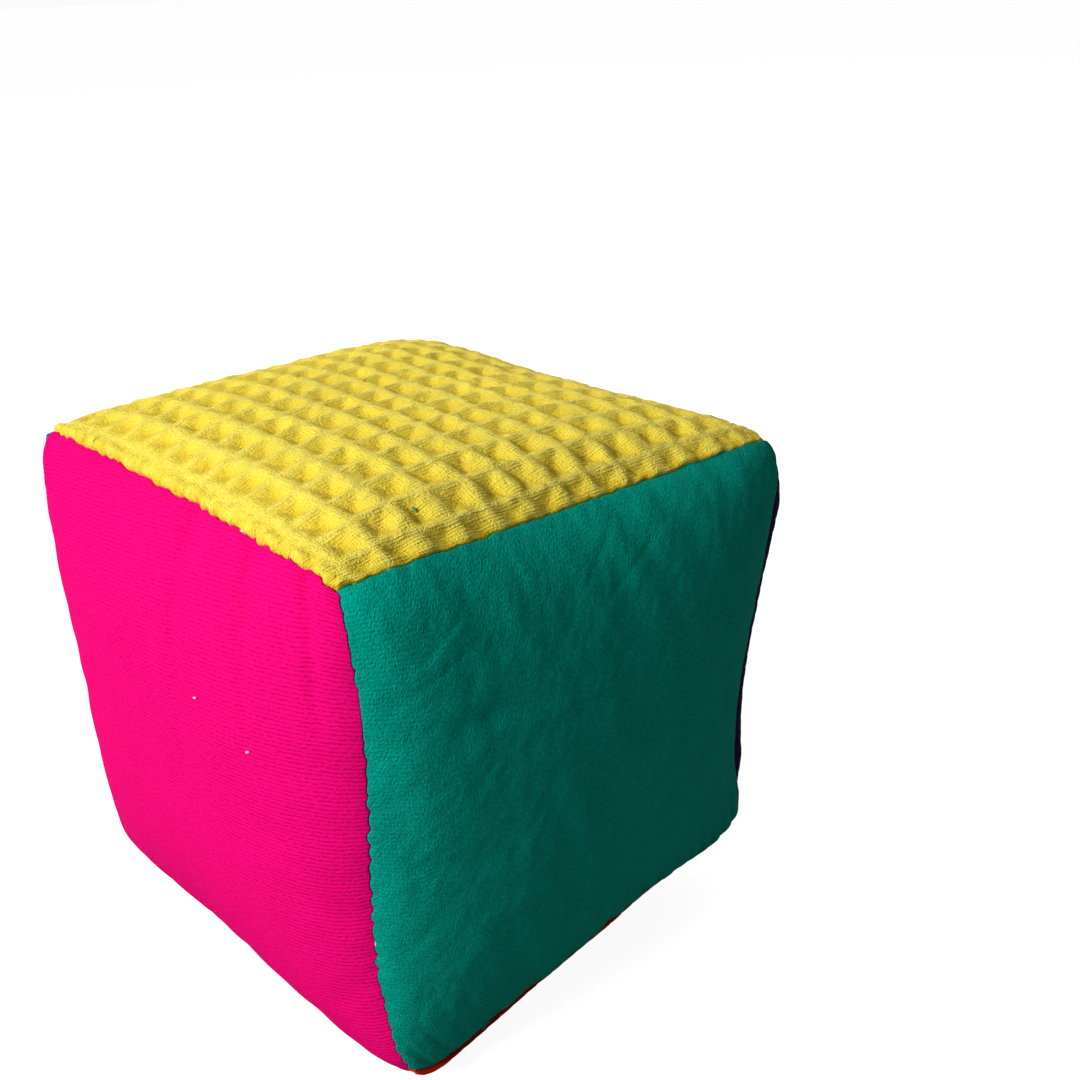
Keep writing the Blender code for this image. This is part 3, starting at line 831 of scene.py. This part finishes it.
# The fluff: a few short ends of fibre and thread, white, pale, teal and navy, shed by cloth in
# the making. They are fixed by nothing and only cling to the nap of the squares.
def cling(name, colour, side, relief, spots, radius):
    """A loose end of fibre that lies on a square along the spots given."""
    n = np.array(sides[side][0])
    u, v = (np.array(w, float) for w in zip(*spots))
    lift = radius * (1 + 1.5 * np.sin(np.linspace(0, math.pi, len(u))))
    line = crowned(side, u, v) + n * (relief(u, v) + puckered(side, u, v) + lift)[:, None] + middle
    material, tree, shader = plain_finish(name, roughness=0.9, sheen=0.2)
    place = add_node(tree, "TexCoord").outputs["Object"]
    fibre = 0.0002
    strands = blotches(tree, place, fibre, fibre, detail=3)
    tint(tree, shader, strands, [0.7 * c for c in colour], colour)
    raise_grain(tree, shader, strands, depth=0.00005)
    new_piece(name.replace(" ", "_"), strand(name, line, radius, roundness=2), material)


cling("white lint", (0.85, 0.8, 0.8), "magenta", magenta_relief,
      [(0.279, 0.381), (0.282, 0.385), (0.286, 0.384)], radius=0.00017)
cling("pale lint", (0.85, 0.75, 0.8), "magenta", magenta_relief,
      [(0.544, 0.288), (0.547, 0.292), (0.549, 0.290)], radius=0.0002)
cling("teal lint", (0.12, 0.30, 0.17), "yellow", yellow_relief,
      [(0.797, -0.556), (0.802, -0.561), (0.807, -0.557)], radius=0.0002)
cling("navy thread end", (0.02, 0.03, 0.12), "purple", purple_relief,
      [(0.955, -0.95), (0.93, -0.955), (0.90, -0.94), (0.875, -0.945), (0.85, -0.93)], radius=0.00012)


# The label: a length of white woven ribbon, folded in two, with its raw ends caught in the seam
# between the blue and the purple squares. It stands a little off the purple one.
label_width = 0.030
label_reach = 0.028
held_in_seam = 0.005
root_bend = 0.0022
ribbon_thickness = 0.0002
ribbon_sag = 0.0005
ply_offset = 0.00025
label_lift = math.radians(38)
label_curl = math.radians(24)
curl_at_root = 0.06
hinge = frame["joints"][0]
hinge_point = np.array(hinge["pos_m"])
hinge_axis = Vector(hinge["axis"])
off_purple = hinge_axis.cross(Vector((1, 0, 0))).normalized()
over_purple = off_purple.cross(hinge_axis)
out_of_seam = math.radians(135)
root_height = 0.0012


def label_middle(t):
    """The middle line between the two layers, with t in metres from where it leaves the seam."""
    outward = np.array([math.cos(out_of_seam), math.sin(out_of_seam)])
    root = -root_height * outward
    if t <= 0:
        return root + t * outward
    s = max((t - root_bend) / (label_reach - root_bend), 0) * (1 - curl_at_root) + curl_at_root
    heading = label_lift + label_curl * s
    x = (math.sin(heading) - math.sin(label_lift)) / label_curl
    y = (math.cos(label_lift) - math.cos(heading)) / label_curl
    arm = np.array([x, y]) * (label_reach - ply_offset)
    if t >= root_bend:
        return arm
    share = t / root_bend
    return root * (1 - share) ** 2 + arm * share ** 2


steps_held, steps_bent, steps_free = 4, 8, 25
places = np.concatenate([np.linspace(-held_in_seam, 0, steps_held + 1),
                         np.linspace(0, root_bend, steps_bent + 1)[1:],
                         np.linspace(root_bend, label_reach, steps_free + 1)[1:]])
line = np.array([label_middle(t) for t in places])
ahead = np.gradient(line, axis=0)
ahead /= np.linalg.norm(ahead, axis=1, keepdims=True)
side_step = np.stack([-ahead[:, 1], ahead[:, 0]], axis=1) * ply_offset
steps_folded = 8
turns = np.linspace(-math.pi / 2, math.pi / 2, steps_folded + 1)[1:-1]
tip = [line[-1] + ply_offset * (ahead[-1] * math.cos(a) + side_step[-1] / ply_offset * math.sin(a))
       for a in turns]
path = np.concatenate([line - side_step, tip, (line + side_step)[::-1]])
lengths = np.concatenate([[0], np.cumsum(np.linalg.norm(np.diff(path, axis=0), axis=1))])
ribbon_length = float(lengths[-1])

# In millimetres from the middle of the ribbon: where its woven edge and the pressed fold show
edge_at, edge_width = 13.9, 0.16
fold_at, fold_width = 1.3, 0.12
ribbon, tree, shader = plain_finish("white ribbon", roughness=0.55, sheen=0.1)
spot, across, up = cloth_spot(tree)
grain = plain_weave(tree, across, up, pitch=0.3)
edge = calc(tree, "ABSOLUTE", calc(tree, "SUBTRACT", calc(tree, "ABSOLUTE", across), edge_at))
selvedge = calc(tree, "LESS_THAN", edge, edge_width)
folded = calc(tree, "ABSOLUTE", calc(tree, "SUBTRACT", calc(tree, "ABSOLUTE", up), fold_at))
fold_line = calc(tree, "LESS_THAN", folded, fold_width)
lines = calc(tree, "MAXIMUM", selvedge, fold_line)
worn = calc(tree, "SUBTRACT", calc(tree, "MULTIPLY_ADD", blotches(tree, spot, 8, 8), 0.4, 0.5),
            calc(tree, "MULTIPLY", lines, 0.5))
tint(tree, shader, worn, (0.62, 0.64, 0.69), (0.86, 0.87, 0.90))
grain = calc(tree, "SUBTRACT", grain, calc(tree, "MULTIPLY", lines, 0.8))
raise_grain(tree, shader, grain, depth=0.00006)

bm = bmesh.new()
rows = 20
bmesh.ops.create_grid(bm, x_segments=len(path) - 1, y_segments=rows, size=1)
uv = bm.loops.layers.uv.new("cloth")
where = {}
for vert in bm.verts:
    k = round((vert.co.x + 1) / 2 * (len(path) - 1))
    width = vert.co.y
    where[vert.index] = (width * label_width / 2 * millimetres,
                         (lengths[k] - ribbon_length / 2) * millimetres)
    out_of_seam_share = lengths[k] / ribbon_length * 2
    if k >= len(path) / 2:
        out_of_seam_share = 2 - out_of_seam_share
    sag = ribbon_sag * math.sin(3.1 * width + 0.5) * out_of_seam_share ** 2
    x, y = path[k]
    vert.co = (Vector(hinge_point) + over_purple * x + off_purple * (y + sag)
               + hinge_axis * (width * label_width / 2))
for face in bm.faces:
    for loop in face.loops:
        loop[uv].uv = where[loop.vert.index]
label = new_piece("ribbon_label", mesh_of(bm, "label ribbon"), ribbon, "label_flap", "label_tails",
                  body=None)
plies = label.modifiers.new("thickness of the ribbon", "SOLIDIFY")
plies.thickness = ribbon_thickness
plies.offset = 0
# It folds right at the seam: the tails stay in it, and the rest turns over in under a millimetre
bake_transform(label)


# The room: a white floor and backdrop, a soft round lamp in front, a weaker one behind the block
# and dim fill from all round. The floor looks near white but passes on less light than that, so
# that the block's shades stay deep.
floor_grey = 0.28
floor_glow = 0.93
floor_size = 15
fill_light, backdrop_more = 0.14, 0.82
window_power, window_size = 14, 0.5
back_power, back_size = 28, 0.25
look_at = Vector((0, 0, 0.05))

white_floor, tree, shader = plain_finish("white floor", roughness=1)
shader.inputs["Base Color"].default_value = (floor_grey, floor_grey, floor_grey, 1)
seen = add_node(tree, "LightPath").outputs["Is Camera Ray"]
strength = calc(tree, "MULTIPLY", seen, floor_glow)
glow = add_node(tree, "Emission", {"Color": (1, 1, 1, 1), "Strength": strength})
both = add_node(tree, "AddShader", {0: shader.outputs[0], 1: glow.outputs[0]})
tree.links.new(both.outputs[0], tree.nodes["Material Output"].inputs["Surface"])
bm = bmesh.new()
bmesh.ops.create_grid(bm, x_segments=1, y_segments=1, size=floor_size)
floor = bpy.data.objects.new("floor", mesh_of(bm, "floor"))
floor.data.materials.append(white_floor)
bpy.context.scene.collection.objects.link(floor)

world = bpy.data.worlds.new("studio")
bpy.context.scene.world = world
world.use_nodes = True
tree = world.node_tree
ray = add_node(tree, "LightPath")
shown = calc(tree, "MAXIMUM", ray.outputs["Is Camera Ray"], ray.outputs["Is Glossy Ray"])
shown = calc(tree, "MAXIMUM", shown, ray.outputs["Is Transmission Ray"])
strength = calc(tree, "MULTIPLY_ADD", shown, backdrop_more, fill_light)
backdrop = tree.nodes["Background"]
backdrop.inputs["Color"].default_value = (1, 1, 1, 1)
tree.links.new(strength, backdrop.inputs["Strength"])

lamp = bpy.data.lights.new("window lamp", "AREA")
lamp.shape = "DISK"
lamp.size = window_size
lamp.energy = window_power
window = bpy.data.objects.new("window lamp", lamp)
window.location = (-0.07, -0.9, 0.69)
window.rotation_euler = (look_at - window.location).to_track_quat("-Z", "Y").to_euler()
lamp = bpy.data.lights.new("back lamp", "POINT")
lamp.shadow_soft_size = back_size
lamp.energy = back_power
back_lamp = bpy.data.objects.new("back lamp", lamp)
back_lamp.location = (-0.6, 0.75, 0.3)
for item in (window, back_lamp):
    item.visible_camera = False
    bpy.context.scene.collection.objects.link(item)

# The camera stands close, at the front right, and is rolled a little
camera = bpy.data.cameras.new("camera")
camera.sensor_width = 36
camera.lens = 42.7
turn, tip_down, roll = (math.radians(a) for a in (46.3, 23.9, 2.0))
ahead = Vector((-math.sin(turn) * math.cos(tip_down), math.cos(turn) * math.cos(tip_down),
                -math.sin(tip_down)))
right = ahead.cross(Vector((0, 0, 1))).normalized()
down = ahead.cross(right)
across = math.cos(roll) * right + math.sin(roll) * down
below = -math.sin(roll) * right + math.cos(roll) * down
eye = bpy.data.objects.new("camera", camera)
eye.matrix_world = Matrix((across, -below, -ahead)).transposed().to_4x4()
eye.location = (0.1895, -0.145, 0.1837)
bpy.context.scene.collection.objects.link(eye)
bpy.context.scene.camera = eye
bpy.context.scene.view_settings.view_transform = "Standard"
